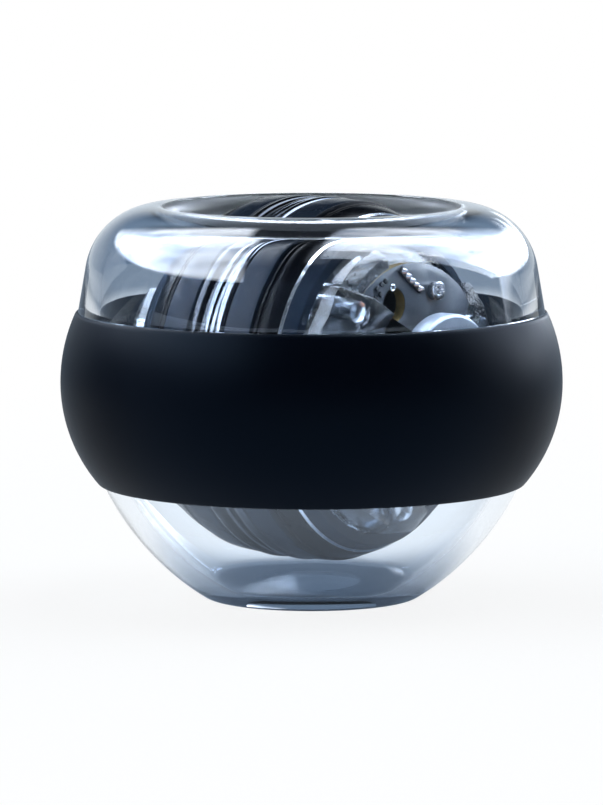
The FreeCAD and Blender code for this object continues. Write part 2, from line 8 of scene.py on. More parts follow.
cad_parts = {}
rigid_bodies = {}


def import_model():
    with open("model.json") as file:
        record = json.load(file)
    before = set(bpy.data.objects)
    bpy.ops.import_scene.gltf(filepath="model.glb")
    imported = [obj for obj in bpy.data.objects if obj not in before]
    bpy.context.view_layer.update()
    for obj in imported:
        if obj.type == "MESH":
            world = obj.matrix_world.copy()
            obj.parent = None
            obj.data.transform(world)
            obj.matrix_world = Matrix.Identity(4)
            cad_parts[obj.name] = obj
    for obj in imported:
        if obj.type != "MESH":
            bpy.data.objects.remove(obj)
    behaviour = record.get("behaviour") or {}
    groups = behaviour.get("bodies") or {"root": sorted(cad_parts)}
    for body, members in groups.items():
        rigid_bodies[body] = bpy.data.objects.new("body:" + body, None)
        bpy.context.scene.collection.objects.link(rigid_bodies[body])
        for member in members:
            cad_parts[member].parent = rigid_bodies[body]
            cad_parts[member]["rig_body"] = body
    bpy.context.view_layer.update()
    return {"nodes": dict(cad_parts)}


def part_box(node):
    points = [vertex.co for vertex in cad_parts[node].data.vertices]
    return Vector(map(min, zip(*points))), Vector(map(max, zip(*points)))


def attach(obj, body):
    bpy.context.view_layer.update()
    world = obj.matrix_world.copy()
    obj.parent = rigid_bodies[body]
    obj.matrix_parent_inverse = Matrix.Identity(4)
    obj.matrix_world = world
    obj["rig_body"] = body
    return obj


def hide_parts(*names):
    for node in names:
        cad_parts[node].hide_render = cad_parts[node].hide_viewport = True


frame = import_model()


# Upper shell
# Thick clear polycarbonate in one moulding, rolled over into the mouth and ended in a rounded
# edge. It drops over the lower shell's lap at the seam and is welded there, under the grip band.
MM = 0.001
MERGE_REACH = 0.002 * MM
SHARP_ANGLE = math.radians(28)
SHELL_STEPS = 192
UPRIGHT = (0, 0, 1)

axle_height = (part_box("axle")[0].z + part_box("axle")[1].z) / 2 / MM
rim_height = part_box("upper_shell")[1].z / MM
wall_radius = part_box("upper_shell")[1].x / MM
grip_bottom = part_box("grip_band")[0].z / MM
grip_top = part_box("grip_band")[1].z / MM
grip_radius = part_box("grip_band")[1].x / MM
grip_recess = 0.5
grip_seat = wall_radius - grip_recess
fitting_gap = 0.03
groove_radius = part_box("upper_race")[1].x / MM + fitting_gap
race_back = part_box("upper_race")[1].z / MM - axle_height
race_seat = 1.0
lap_height = 1.6
lap_radius = (groove_radius + grip_seat) / 2
shell_wall = 2.6
shoulder_radius = 10.1
crest_radius = wall_radius - 11.05
lip_round = 2.0
rubbed_from, rubbed_full = 0.2, 0.9
rubbed_depth = 5.0
rubbed_roughness = 0.4


def begin_outline(across, up):
    """The first point of an outline, in millimetres, in the plane of the axle."""
    outline = bmesh.new()
    outline.verts.new((across * MM, 0, up * MM))
    return outline


def lines_to(outline, *points):
    for across, up in points:
        outline.verts.ensure_lookup_table()
        tip = bmesh.ops.extrude_vert_indiv(outline, verts=[outline.verts[-1]])["verts"][0]
        tip.co = (across * MM, 0, up * MM)


def arc_to(outline, centre, end, steps):
    """Swings the outline's last point round a centre, by the shorter way, to an end point."""
    outline.verts.ensure_lookup_table()
    tip = outline.verts[-1]
    here = math.atan2(tip.co.z / MM - centre[1], tip.co.x / MM - centre[0])
    there = math.atan2(end[1] - centre[1], end[0] - centre[0])
    turn = (there - here + math.pi) % (2 * math.pi) - math.pi
    middle = (centre[0] * MM, 0, centre[1] * MM)
    bmesh.ops.spin(outline, geom=[tip], cent=middle, axis=(0, -1, 0), angle=turn, steps=steps)


def closed(outline):
    outline.verts.ensure_lookup_table()
    outline.edges.new((outline.verts[-1], outline.verts[0]))
    return outline


def turned(outline, steps):
    """Turns an outline right round the upright line and closes it into a solid skin."""
    bmesh.ops.spin(
        outline,
        geom=outline.verts[:] + outline.edges[:],
        cent=(0, 0, 0),
        axis=UPRIGHT,
        angle=2 * math.pi,
        steps=steps,
        use_merge=True,
    )
    bmesh.ops.remove_doubles(outline, verts=outline.verts, dist=MERGE_REACH)
    bmesh.ops.recalc_face_normals(outline, faces=outline.faces)
    return outline


def finished(name, shape, finish):
    """Makes an object of a mesh in one finish, smooth but for its sharp edges."""
    for face in shape.faces:
        face.smooth = True
    for edge in shape.edges:
        edge.smooth = edge.calc_face_angle(0) < SHARP_ANGLE
    mesh = bpy.data.meshes.new(name)
    shape.to_mesh(mesh)
    shape.free()
    piece = bpy.data.objects.new(name, mesh)
    bpy.context.scene.collection.objects.link(piece)
    piece.data.materials.append(finishes[finish])
    return piece


finishes = {}


def start_material(name):
    """A new finish, and the nodes, links and shader that it is built from."""
    material = bpy.data.materials.new(name)
    material.use_nodes = True
    finishes[name] = material
    tree = material.node_tree
    return tree.nodes, tree.links, tree.nodes["Principled BSDF"]


def feed(links, socket, value):
    """Links another node's output to a socket, or sets a plain number or colour on it."""
    if isinstance(value, bpy.types.NodeSocket):
        links.new(value, socket)
    elif isinstance(value, tuple):
        socket.default_value = (*value, 1)
    else:
        socket.default_value = value


def figured(nodes, links, operation, *values):
    """A sum, a product or another figure of one or more values."""
    node = nodes.new("ShaderNodeMath")
    node.operation = operation
    for socket, value in zip(node.inputs, values):
        feed(links, socket, value)
    return node.outputs["Value"]


def measured(nodes, links, place, along=None):
    """How long a vector is or, given a direction, how far it reaches along that."""
    node = nodes.new("ShaderNodeVectorMath")
    node.operation = "DOT_PRODUCT" if along else "LENGTH"
    links.new(place, node.inputs[0])
    if along:
        node.inputs[1].default_value = along
    return node.outputs["Value"]


def spread(nodes, links, value, source, target, smooth=False):
    """Maps one range of a value onto another."""
    node = nodes.new("ShaderNodeMapRange")
    if smooth:
        node.interpolation_type = "SMOOTHSTEP"
    for label, number in zip(("From Min", "From Max", "To Min", "To Max"), (*source, *target)):
        feed(links, node.inputs[label], number)
    links.new(value, node.inputs["Value"])
    return node.outputs["Result"]


def span(low, high):
    """A range that is given in millimetres."""
    return low * MM, high * MM


def blended(nodes, links, factor, first, second):
    """Two colours, each a plain one or another node's, mixed by a factor."""
    node = nodes.new("ShaderNodeMix")
    node.data_type = "RGBA"
    links.new(factor, node.inputs["Factor"])
    feed(links, node.inputs["A"], first)
    feed(links, node.inputs["B"], second)
    return node.outputs["Result"]


def own_place(nodes, links):
    """A point's place in the piece's own coordinates, whole and as X, Y and Z."""
    where = nodes.new("ShaderNodeTexCoord").outputs["Object"]
    apart = nodes.new("ShaderNodeSeparateXYZ")
    links.new(where, apart.inputs["Vector"])
    return where, apart.outputs


def noise_at(nodes, links, scale, detail, stretch=(1, 1, 1)):
    """Noise on the piece's own coordinates, stretched along an axis where it isn't even."""
    where = nodes.new("ShaderNodeTexCoord")
    mapping = nodes.new("ShaderNodeMapping")
    mapping.inputs["Scale"].default_value = stretch
    noise = nodes.new("ShaderNodeTexNoise")
    noise.inputs["Scale"].default_value = scale
    noise.inputs["Detail"].default_value = detail
    noise.inputs["Roughness"].default_value = 0.55
    links.new(where.outputs["Object"], mapping.inputs["Vector"])
    links.new(mapping.outputs["Vector"], noise.inputs["Vector"])
    return noise.outputs["Fac"]


def bumped(nodes, links, shader, height, strength, distance):
    bump = nodes.new("ShaderNodeBump")
    bump.inputs["Strength"].default_value = strength
    bump.inputs["Distance"].default_value = distance
    links.new(height, bump.inputs["Height"])
    links.new(bump.outputs["Normal"], shader.inputs["Normal"])


# Handling leaves faint wear on every moulded and metal face, in broad patches and fine marks
handling = bpy.data.node_groups.new("handling_wear", "ShaderNodeTree")
for label, value in (("Cleanest", 0.1), ("Dullest", 0.3)):
    socket = handling.interface.new_socket(
        name=label, in_out="INPUT", socket_type="NodeSocketFloat"
    )
    socket.default_value = value
for label in ("Roughness", "Height"):
    handling.interface.new_socket(name=label, in_out="OUTPUT", socket_type="NodeSocketFloat")
nodes, links = handling.nodes, handling.links
asked = nodes.new("NodeGroupInput").outputs
given = nodes.new("NodeGroupOutput").inputs
broad_wear = noise_at(nodes, links, 140, 4)
fine_wear = noise_at(nodes, links, 2600, 2, stretch=(1, 0.25, 1))
both_wear = figured(nodes, links, "MULTIPLY", broad_wear, fine_wear)
wear_range = (asked["Cleanest"], asked["Dullest"])
links.new(spread(nodes, links, both_wear, (0.12, 0.42), wear_range), given["Roughness"])
links.new(fine_wear, given["Height"])


def worn(nodes, links, shader, roughness):
    """Handling wear between two roughnesses, cleanest and dullest. Returns its marks' height."""
    wear = nodes.new("ShaderNodeGroup")
    wear.node_tree = handling
    wear.inputs["Cleanest"].default_value, wear.inputs["Dullest"].default_value = roughness
    links.new(wear.outputs["Roughness"], shader.inputs["Roughness"])
    return wear.outputs["Height"]


def make_clear_plastic(name, tint, roughness, refraction, ripple):
    """Clear moulded plastic with faint flow ripples. What lies behind it is lit through it."""
    nodes, links, shader = start_material(name)
    shader.inputs["Base Color"].default_value = (*tint, 1)
    shader.inputs["IOR"].default_value = refraction
    shader.inputs["Transmission Weight"].default_value = 1
    worn(nodes, links, shader, roughness)
    bumped(nodes, links, shader, noise_at(nodes, links, 55, 1.5), 1.0, ripple)
    clear = nodes.new("ShaderNodeBsdfTransparent")
    clear.inputs["Color"].default_value = (*tint, 1)
    mixed = nodes.new("ShaderNodeMixShader")
    links.new(nodes.new("ShaderNodeLightPath").outputs["Is Shadow Ray"], mixed.inputs["Fac"])
    links.new(shader.outputs["BSDF"], mixed.inputs[1])
    links.new(clear.outputs["BSDF"], mixed.inputs[2])
    links.new(mixed.outputs["Shader"], nodes["Material Output"].inputs["Surface"])
    return nodes, links, shader


# Hands rub the mouth's edge to a satin, inwards from the top of the crest
nodes, links, shader = make_clear_plastic(
    "clear_shell", (0.93, 0.965, 1.0), (0.004, 0.03), refraction=1.36, ripple=0.09 * MM
)
where, apart = own_place(nodes, links)
outward = nodes.new("ShaderNodeMapping")
outward.inputs["Scale"].default_value = (1, 1, 0)
links.new(where, outward.inputs["Vector"])
from_axis = measured(nodes, links, outward.outputs["Vector"])
mouth_edge = span(crest_radius - rubbed_full, crest_radius - rubbed_from)
near_mouth = spread(nodes, links, from_axis, mouth_edge, (1, 0), smooth=True)
lowest_rub = span(rim_height - rubbed_depth, rim_height - rubbed_depth + 1)
high_up = spread(nodes, links, apart["Z"], lowest_rub, (0, 1))
rubbed = figured(nodes, links, "MULTIPLY", near_mouth, high_up)
moulded = shader.inputs["Roughness"].links[0].from_socket
satin = spread(nodes, links, rubbed, (0, 1), (moulded, rubbed_roughness))
links.new(satin, shader.inputs["Roughness"])

shoulder = (crest_radius, rim_height - shoulder_radius)
wall_foot = (wall_radius, grip_top)
inner_wall = groove_radius - race_seat
roof_radius = shoulder_radius - shell_wall
edge_round = shell_wall - lip_round
mouth_radius = crest_radius - lip_round


def tangent_from(point, centre, radius):
    """Where a nearly upright wall from a point below meets the shoulder's arc."""
    away = Vector((point[0] - centre[0], point[1] - centre[1]))
    lean = math.atan2(away.y, away.x) + math.acos(radius / away.length)
    return (centre[0] + radius * math.cos(lean), centre[1] + radius * math.sin(lean))


outline = begin_outline(lap_radius - fitting_gap, axle_height)
lines_to(
    outline,
    (lap_radius - fitting_gap, axle_height + lap_height + fitting_gap),
    (grip_seat, axle_height + lap_height + fitting_gap),
    (grip_seat, grip_top),
    wall_foot,
    tangent_from(wall_foot, shoulder, shoulder_radius),
)
lip_height = rim_height - lip_round
arc_to(outline, shoulder, (crest_radius, rim_height), steps=28)
arc_to(outline, (crest_radius, lip_height), (mouth_radius, lip_height), steps=10)
edge_middle = (mouth_radius + edge_round, lip_height)
arc_to(outline, edge_middle, (edge_middle[0], rim_height - shell_wall), steps=5)
lines_to(outline, (crest_radius, rim_height - shell_wall))
inner_foot = (inner_wall, grip_top)
arc_to(outline, shoulder, tangent_from(inner_foot, shoulder, roof_radius), steps=24)
lines_to(
    outline,
    inner_foot,
    (inner_wall, axle_height + race_back),
    (groove_radius, axle_height + race_back),
    (groove_radius, axle_height),
)
skin = turned(closed(outline), SHELL_STEPS)
upper_shell = finished("clear_upper_shell", skin, "clear_shell")
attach(upper_shell, "housing")
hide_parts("upper_shell")


# Lower shell
# The clear bowl: its side is one arc, tangent to upright a little above the seam, down to a flat
# foot with a shallow round recess. It is moulded like the upper shell and carries its lap.
base_corner = 14.5
base_round = 3.0
bowl_rise = 0.7
floor_thickness = 2.8
foot_recess_radius = 7.0
foot_recess_depth = 0.5
bowl_middle = axle_height + bowl_rise
bowl_depth = wall_radius - base_corner
bowl_radius = (bowl_depth ** 2 + bowl_middle ** 2) / (2 * bowl_depth)
bowl = (wall_radius - bowl_radius, bowl_middle)


def bowl_side(inset, height):
    reach = math.sqrt((bowl_radius - inset) ** 2 - (height - bowl[1]) ** 2)
    return (bowl[0] + reach, height)


def bowl_corner(inset, floor_height):
    """Foot, centre and top of the rounding between a flat floor and the bowl's side."""
    radius = bowl_radius - inset
    height = floor_height + base_round
    reach = math.sqrt((radius - base_round) ** 2 - (height - bowl[1]) ** 2)
    grow = radius / (radius - base_round)
    top = (bowl[0] + reach * grow, bowl[1] + (height - bowl[1]) * grow)
    return (bowl[0] + reach, floor_height), (bowl[0] + reach, height), top


grip_foot = bowl_side(grip_recess, grip_bottom)
outline = begin_outline(0, foot_recess_depth)
foot, foot_centre, foot_top = bowl_corner(0, 0)
lines_to(outline, (foot_recess_radius, foot_recess_depth), (foot_recess_radius, 0), foot)
arc_to(outline, foot_centre, foot_top, steps=8)
arc_to(outline, bowl, bowl_side(0, grip_bottom), steps=24)
lines_to(
    outline,
    grip_foot,
    (grip_seat, axle_height),
    (grip_seat, axle_height + lap_height),
    (lap_radius, axle_height + lap_height),
    (lap_radius, axle_height),
    (groove_radius, axle_height),
    (groove_radius, axle_height - race_back),
    bowl_side(shell_wall, axle_height - race_back),
)
inner_foot, inner_centre, inner_top = bowl_corner(shell_wall, floor_thickness)
arc_to(outline, bowl, inner_top, steps=32)
arc_to(outline, inner_centre, inner_foot, steps=8)
lines_to(outline, (0, floor_thickness))
skin = turned(outline, SHELL_STEPS)
lower_shell = finished("clear_lower_shell", skin, "clear_shell")
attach(lower_shell, "housing")
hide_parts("lower_shell")


# Grip band
# Black silicone rubber, moulded as a loop and stretched into the shells' shallow seat over the
# seam. Its face is bare and satin, widest a little below the middle, with a thin top edge.
grip_steps = 256
grip_top_edge = 0.8
grip_bottom_edge = 1.2
grip_widest = axle_height - 0.7
grip_rounding = 0.3

nodes, links, shader = start_material("grip_silicone")
skin_grain = noise_at(nodes, links, 5200, 2)
cloudy = noise_at(nodes, links, 60, 4)
tone = blended(nodes, links, cloudy, (0.0006, 0.0011, 0.0028), (0.001, 0.0018, 0.0042))
links.new(tone, shader.inputs["Base Color"])
satin = spread(nodes, links, cloudy, (0.35, 0.65), (0.4, 0.47))
links.new(satin, shader.inputs["Roughness"])
bumped(nodes, links, shader, skin_grain, 0.25, 0.02 * MM)
shader.inputs["Specular IOR Level"].default_value = 0.035
shader.inputs["Specular Tint"].default_value = (0.5, 0.75, 1, 1)
shader.inputs["Sheen Weight"].default_value = 0.05
shader.inputs["Sheen Roughness"].default_value = 0.35
shader.inputs["Sheen Tint"].default_value = (0.45, 0.72, 1, 1)


def side_arc(edge_radius, edge_height):
    """Centre of the arc that is widest at the band's widest height and ends at an edge."""
    drop = grip_radius - edge_radius
    radius = (drop ** 2 + (edge_height - grip_widest) ** 2) / (2 * drop)
    return (grip_radius - radius, grip_widest)


def softened(shape, width, segments=2, outside=0.0):
    """Rounds the sharp edges past a radius from the axle, as a mould or a tool leaves them."""
    sharp = []
    for edge in shape.edges:
        middle = (edge.verts[0].co + edge.verts[1].co) / 2
        from_axle = math.hypot(middle.y, middle.z - axle_height * MM)
        if edge.calc_face_angle(0) > SHARP_ANGLE and from_axle > outside * MM:
            sharp.append(edge)
    bmesh.ops.bevel(
        shape,
        geom=sharp,
        offset=width * MM,
        offset_type="OFFSET",
        affect="EDGES",
        segments=segments,
        profile=0.5,
        material=-1,
        clamp_overlap=True,
    )
    return shape


top_edge = (grip_seat + grip_top_edge, grip_top)
bottom_edge = (grip_foot[0] + grip_bottom_edge, grip_bottom)
outline = begin_outline(*grip_foot)
lines_to(outline, bottom_edge)
arc_to(outline, side_arc(*bottom_edge), (grip_radius, grip_widest), steps=18)
arc_to(outline, side_arc(*top_edge), top_edge, steps=14)
lines_to(outline, (grip_seat, grip_top), (grip_seat, axle_height))
skin = softened(turned(closed(outline), grip_steps), grip_rounding, segments=3)
grip_band = finished("silicone_grip_band", skin, "grip_silicone")
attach(grip_band, "housing")
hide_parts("grip_band")


# Races
# Two natural nylon rings pressed onto the shells' ledges. The groove between them is where the
# axle's tips roll, so their facing sides are a little burnished.
def refined(node, slot, rounding=0.0, outside=0.0):
    """A merged copy of a CAD node with its sharp edges rounded, which stands for the node."""
    shape = bmesh.new()
    shape.from_mesh(frame["nodes"][node].data)
    bmesh.ops.remove_doubles(shape, verts=shape.verts, dist=MERGE_REACH)
    bmesh.ops.dissolve_limit(
        shape,
        angle_limit=math.radians(0.5),
        verts=shape.verts,
        edges=shape.edges,
        use_dissolve_boundaries=False,
    )
    if rounding:
        softened(shape, rounding, outside=outside)
    piece = finished(node + "_finish", shape, slot)
    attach(piece, frame["nodes"][node]["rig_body"])
    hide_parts(node)


def make_finish(name, first, second, roughness, metallic=0.0, scale=180):
    """A moulded or metal finish that drifts between two tones, with handling wear."""
    nodes, links, shader = start_material(name)
    drift = spread(nodes, links, noise_at(nodes, links, scale, 4), (0.35, 0.65), (0, 1))
    links.new(blended(nodes, links, drift, first, second), shader.inputs["Base Color"])
    shader.inputs["Metallic"].default_value = metallic
    marks = worn(nodes, links, shader, roughness)
    bumped(nodes, links, shader, marks, 0.3, 0.01 * MM)


make_finish("race_nylon", (0.62, 0.61, 0.56), (0.7, 0.69, 0.65), (0.25, 0.45))
refined("upper_race", "race_nylon", rounding=0.12)
refined("lower_race", "race_nylon", rounding=0.12)


# Ring that carries the axle
# A flat punched steel hoop with a moulded bearing block forked over each side of it, and a
# pressed, nickel-plated cup with its ferrite magnet on each block, facing the coils.
make_finish("hoop_steel", (0.42, 0.43, 0.45), (0.52, 0.53, 0.55), (0.2, 0.36), metallic=1)
make_finish("bearing_plastic", (0.012, 0.013, 0.016), (0.02, 0.021, 0.026), (0.25, 0.42))
make_finish("cup_nickel", (0.24, 0.28, 0.34), (0.33, 0.37, 0.44), (0.3, 0.5), metallic=0.55)
make_finish("magnet_ferrite", (0.035, 0.034, 0.034), (0.06, 0.058, 0.056), (0.5, 0.7))
refined("axle_hoop", "hoop_steel", rounding=0.12)
for end in ("right", "left"):
    refined(end + "_bearing_block", "bearing_plastic", rounding=0.18)
    refined(end + "_magnet_cup", "cup_nickel", rounding=0.12)
    refined(end + "_magnet", "magnet_ferrite", rounding=0.1)


# Axle
# A turned steel shaft with a hardened tip at each end, a brass collar that holds the spring's
# inner end, and a spring-steel clip at each side of the drum.
make_finish("axle_steel", (0.5, 0.51, 0.53), (0.6, 0.61, 0.63), (0.1, 0.24), metallic=1)
make_finish("arbor_brass", (0.62, 0.45, 0.17), (0.72, 0.53, 0.23), (0.2, 0.34), metallic=1)
make_finish("spring_steel", (0.19, 0.21, 0.25), (0.28, 0.29, 0.32), (0.22, 0.4), metallic=1)
refined("axle", "axle_steel")
refined("spring_arbor", "arbor_brass", rounding=0.08)
refined("axle_clips", "spring_steel", rounding=0.06)


# Drum
# Two dark mouldings screwed together round a turned steel weight ring, whose two beads stand
# between them. A light metal stripe near each end is a painted highlight; the left half holds the
# spring.
satin_half_width = 7.25
line_from, line_to = 10.86, 11.12
line_edge = 0.04
skin_inside = 20.9

nodes, links, shader = start_material("drum_plastic")
where, apart = own_place(nodes, links)
from_middle = figured(nodes, links, "ABSOLUTE", apart["X"])
satin_edge = span(satin_half_width - 0.1, satin_half_width)
satin = spread(nodes, links, from_middle, satin_edge, (1, 0))
# A light metallic stripe between line_from and line_to, near each end: a painted highlight on the
# step's edge
line_start = spread(nodes, links, from_middle, span(line_from - line_edge, line_from), (0, 1))
line_end = spread(nodes, links, from_middle, span(line_to, line_to + line_edge), (1, 0))
end_cone = spread(nodes, links, from_middle, span(line_to, line_to + line_edge), (0, 1))
painted_highlight_stripe = figured(nodes, links, "MULTIPLY", line_start, line_end)
dull_share = figured(nodes, links, "ADD", satin, end_cone)
moulding = blended(nodes, links, dull_share, (0.0025, 0.003, 0.0045), (0.012, 0.018, 0.029))
tone = blended(nodes, links, painted_highlight_stripe, moulding, (0.8, 0.83, 0.88))
links.new(tone, shader.inputs["Base Color"])
links.new(painted_highlight_stripe, shader.inputs["Metallic"])
worn(nodes, links, shader, (0.14, 0.3))
shader.inputs["Specular IOR Level"].default_value = 0.04
turning = noise_at(nodes, links, 900, 2, stretch=(3, 0.02, 0.02))
bumped(nodes, links, shader, turning, 0.25, 0.02 * MM)

# Painted shade: the left bead's colour is scaled darker and the right one's lighter, for how each
# catches the light
nodes, links, shader = start_material("weight_steel")
shader.inputs["Metallic"].default_value = 1
turning = noise_at(nodes, links, 1400, 2, stretch=(3, 0.02, 0.02))
tone = blended(nodes, links, turning, (0.045, 0.052, 0.062), (0.11, 0.12, 0.14))
where, apart = own_place(nodes, links)
brightness = spread(nodes, links, apart["X"], span(-1, 0), (0.3, 1.2))
bead_painted_shade = nodes.new("ShaderNodeVectorMath")
bead_painted_shade.operation = "SCALE"
links.new(tone, bead_painted_shade.inputs[0])
links.new(brightness, bead_painted_shade.inputs["Scale"])
links.new(bead_painted_shade.outputs["Vector"], shader.inputs["Base Color"])
worn(nodes, links, shader, (0.1, 0.24))
bumped(nodes, links, shader, turning, 0.3, 0.02 * MM)

refined("right_drum_half", "drum_plastic", rounding=0.12, outside=skin_inside)
refined("left_drum_half", "drum_plastic", rounding=0.12, outside=skin_inside)
refined("weight_ring", "weight_steel", rounding=0.08)
refined("mainspring", "spring_steel")
refined("spring_cover", "bearing_plastic", rounding=0.1)


# Lens carriers
# A clear polycarbonate plate in each end of the drum, with a side lens and a taller lens at each
# third of a turn. It is moulded in one piece, seated on the step inside the rim and screwed down.
make_clear_plastic(
    "clear_lens", (0.72, 0.81, 0.93), (0.16, 0.3), refraction=1.5, ripple=0.03 * MM
)
for end in ("right", "left"):
    refined(end + "_lens_carrier", "clear_lens", rounding=0.22)


# Boards
# A glass-fibre laminate disc on the carrier's posts, with a grey printed face and a brown sawn
# edge, notched for the taller lenses and cut out over the screws.
board_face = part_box("right_board")[1].x / MM
print_from, print_full = 0.12, 0.06

nodes, links, shader = start_material("board_laminate")
where, apart = own_place(nodes, links)
from_middle = figured(nodes, links, "ABSOLUTE", apart["X"])
skin_depth = span(board_face - print_from, board_face - print_full)
printed = spread(nodes, links, from_middle, skin_depth, (0, 1))
weave = noise_at(nodes, links, 2400, 2)
face_tone = blended(nodes, links, weave, (0.055, 0.065, 0.08), (0.085, 0.098, 0.115))
tone = blended(nodes, links, printed, (0.22, 0.16, 0.06), face_tone)
links.new(tone, shader.inputs["Base Color"])
worn(nodes, links, shader, (0.28, 0.42))
bumped(nodes, links, shader, weave, 0.3, 0.01 * MM)
for end in ("right", "left"):
    refined(end + "_board", "board_laminate", rounding=0.06)


# Small parts on the boards
# Five tinned joints stand in a slanting row on a black strip, with a plated eyelet and a few
# surface-mounted parts beside them. They are soldered to each board's face.
joint_row = ((-2.3, 16.05), (1.53, 13.0))
joint_count = 5
joint_foot, joint_top, joint_height = 0.46, 0.2, 0.6
strip_margin, strip_width, strip_height, strip_edge = 1.1, 1.15, 0.4, 0.08
small_parts = ((-6.2, 14.8), (-7.05, 14.36), (-8.1, 13.74), (-7.35, 12.86), (-8.4, 12.3))
part_length, part_width, part_height, part_edge = 0.75, 0.6, 0.35, 0.06
eyelet = (-4.4, 13.66)
eyelet_radius, eyelet_wire, eyelet_proud = 0.48, 0.13, 0.06
row_turn = math.atan2(joint_row[1][1] - joint_row[0][1], joint_row[1][0] - joint_row[0][0])
row_length = math.dist(*joint_row)
make_finish("tinned", (0.6, 0.62, 0.66), (0.78, 0.8, 0.84), (0.12, 0.26), metallic=1)
make_finish("moulded_black", (0.01, 0.012, 0.016), (0.018, 0.02, 0.025), (0.4, 0.55))


def on_board(across, up, proud=0.0, turn=0.0):
    """A place on the right board's face, with local Z outwards and local X along the board."""
    place = ((board_face + proud) * MM, across * MM, (axle_height + up) * MM)
    facing = Matrix(((0, 0, 1, 0), (1, 0, 0, 0), (0, 1, 0, 0), (0, 0, 0, 1)))
    return Matrix.Translation(place) @ facing @ Matrix.Rotation(turn, 4, "Z")


def block(shape, place, length, width, height, edge):
    """A small moulded block that stands on a place, with its edges rounded."""
    size = Matrix.Diagonal((length * MM, width * MM, height * MM, 1))
    raised = Matrix.Translation((0, 0, height / 2 * MM))
    made = bmesh.ops.create_cube(shape, size=1, matrix=place @ raised @ size)
    bmesh.ops.bevel(
        shape,
        geom=list({side for corner in made["verts"] for side in corner.link_edges}),
        offset=edge * MM,
        offset_type="OFFSET",
        affect="EDGES",
        segments=2,
        profile=0.5,
        material=-1,
        clamp_overlap=True,
    )


def place_on_boards(name, shape, finish):
    """One object for each end. The left board's is the right one's, half a turn round."""
    for end, turn in (("right", 0), ("left", math.pi)):
        one = shape.copy()
        half_turn = Matrix.Rotation(turn, 3, "Z")
        bmesh.ops.rotate(one, verts=one.verts, cent=(0, 0, 0), matrix=half_turn)
        piece = finished(end + name, one, finish)
        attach(piece, "rotor")
    shape.free()


parts = bmesh.new()
row_middle = [(a + b) / 2 for a, b in zip(*joint_row)]
strip_place = on_board(*row_middle, turn=row_turn)
block(parts, strip_place, row_length + strip_margin, strip_width, strip_height, strip_edge)
for across, up in small_parts:
    part_place = on_board(across, up, turn=row_turn)
    block(parts, part_place, part_length, part_width, part_height, part_edge)
place_on_boards("_board_parts", parts, "moulded_black")

joints = bmesh.new()
for number in range(joint_count):
    share = number / (joint_count - 1)
    across, up = (a + (b - a) * share for a, b in zip(*joint_row))
    bmesh.ops.create_cone(
        joints,
        cap_ends=True,
        segments=20,
        radius1=joint_foot * MM,
        radius2=joint_top * MM,
        depth=joint_height * MM,
        matrix=on_board(across, up, proud=strip_height + joint_height / 2),
    )
wire = bmesh.new()
bmesh.ops.create_circle(wire, segments=10, radius=eyelet_wire * MM)
upended = Matrix.Rotation(math.pi / 2, 3, "X")
bmesh.ops.rotate(wire, verts=wire.verts, cent=(0, 0, 0), matrix=upended)
bmesh.ops.translate(wire, verts=wire.verts, vec=(eyelet_radius * MM, 0, eyelet_proud * MM))
turned(wire, 32)
bmesh.ops.transform(wire, matrix=on_board(*eyelet), verts=wire.verts)
loose = bpy.data.meshes.new("eyelet")
wire.to_mesh(loose)
wire.free()
joints.from_mesh(loose)
bpy.data.meshes.remove(loose)
place_on_boards("_board_joints", joints, "tinned")


# Lamps, coils, chips and screws
# Clear resin lamps stand in the carrier's pockets, the coils and a chip are soldered to the board,
# and pan-head steel screws hold the halves, the carriers and the boards.
make_clear_plastic(
    "lamp_resin", (0.9, 0.92, 0.95), (0.03, 0.12), refraction=1.5, ripple=0.01 * MM
)
make_finish("bobbin_plastic", (0.55, 0.55, 0.52), (0.64, 0.64, 0.6), (0.3, 0.45))
make_finish(
    "winding_copper", (0.5, 0.17, 0.06), (0.64, 0.25, 0.1), (0.22, 0.36), metallic=1, scale=900
)
make_finish("chip_plastic", (0.012, 0.012, 0.013), (0.022, 0.022, 0.024), (0.4, 0.55))
make_finish("screw_steel", (0.5, 0.51, 0.54), (0.62, 0.63, 0.66), (0.18, 0.32), metallic=1)
for end in ("right", "left"):
    refined(end + "_lamps", "lamp_resin")
    refined(end + "_bobbins", "bobbin_plastic", rounding=0.08)
    refined(end + "_windings", "winding_copper")
    refined(end + "_chip", "chip_plastic", rounding=0.12)
    refined(end + "_board_screws", "screw_steel", rounding=0.08)
refined("drum_screws", "screw_steel", rounding=0.1)
refined("carrier_screws", "screw_steel", rounding=0.1)


# Floor
# A plain pale surface, which keeps the ball's soft shadow and runs out to white. Gloss and glass
# show it cooler than the camera does, with a painted shadow under the ball and a painted glow in
# front.
CAMERA_AZIMUTH = math.radians(37)
CAMERA_ELEVATION = math.radians(6.5)
towards_camera = (math.sin(CAMERA_AZIMUTH), -math.cos(CAMERA_AZIMUTH), 0)
floor_radius = 2.4
shade_reach = span(12, 40)
white_reach = span(40, 300)
dark_reach = span(200, 340)
front_reach = span(-5, 30)

nodes, links, shader = start_material("floor_paint")
shader.inputs["Roughness"].default_value = 0.85
ray = nodes.new("ShaderNodeLightPath").outputs
through = ray["Is Transmission Ray"]
shiny = figured(nodes, links, "MAXIMUM", ray["Is Glossy Ray"], through)
where, apart = own_place(nodes, links)
from_ball = measured(nodes, links, where)
# Gloss and glass see a darker tone within shade_reach of the middle: a painted shadow under the
# ball
clear_of_painted_shadow = spread(nodes, links, from_ball, shade_reach, (0, 1), smooth=True)
far_off = spread(nodes, links, from_ball, dark_reach, (0, 1), smooth=True)
reached = blended(nodes, links, far_off, (0.94, 0.97, 1.0), (0.24, 0.3, 0.38))
cool = blended(nodes, links, clear_of_painted_shadow, (0.34, 0.41, 0.5), reached)
tone = blended(nodes, links, shiny, (0.9, 0.9, 0.89), cool)
links.new(tone, shader.inputs["Base Color"])

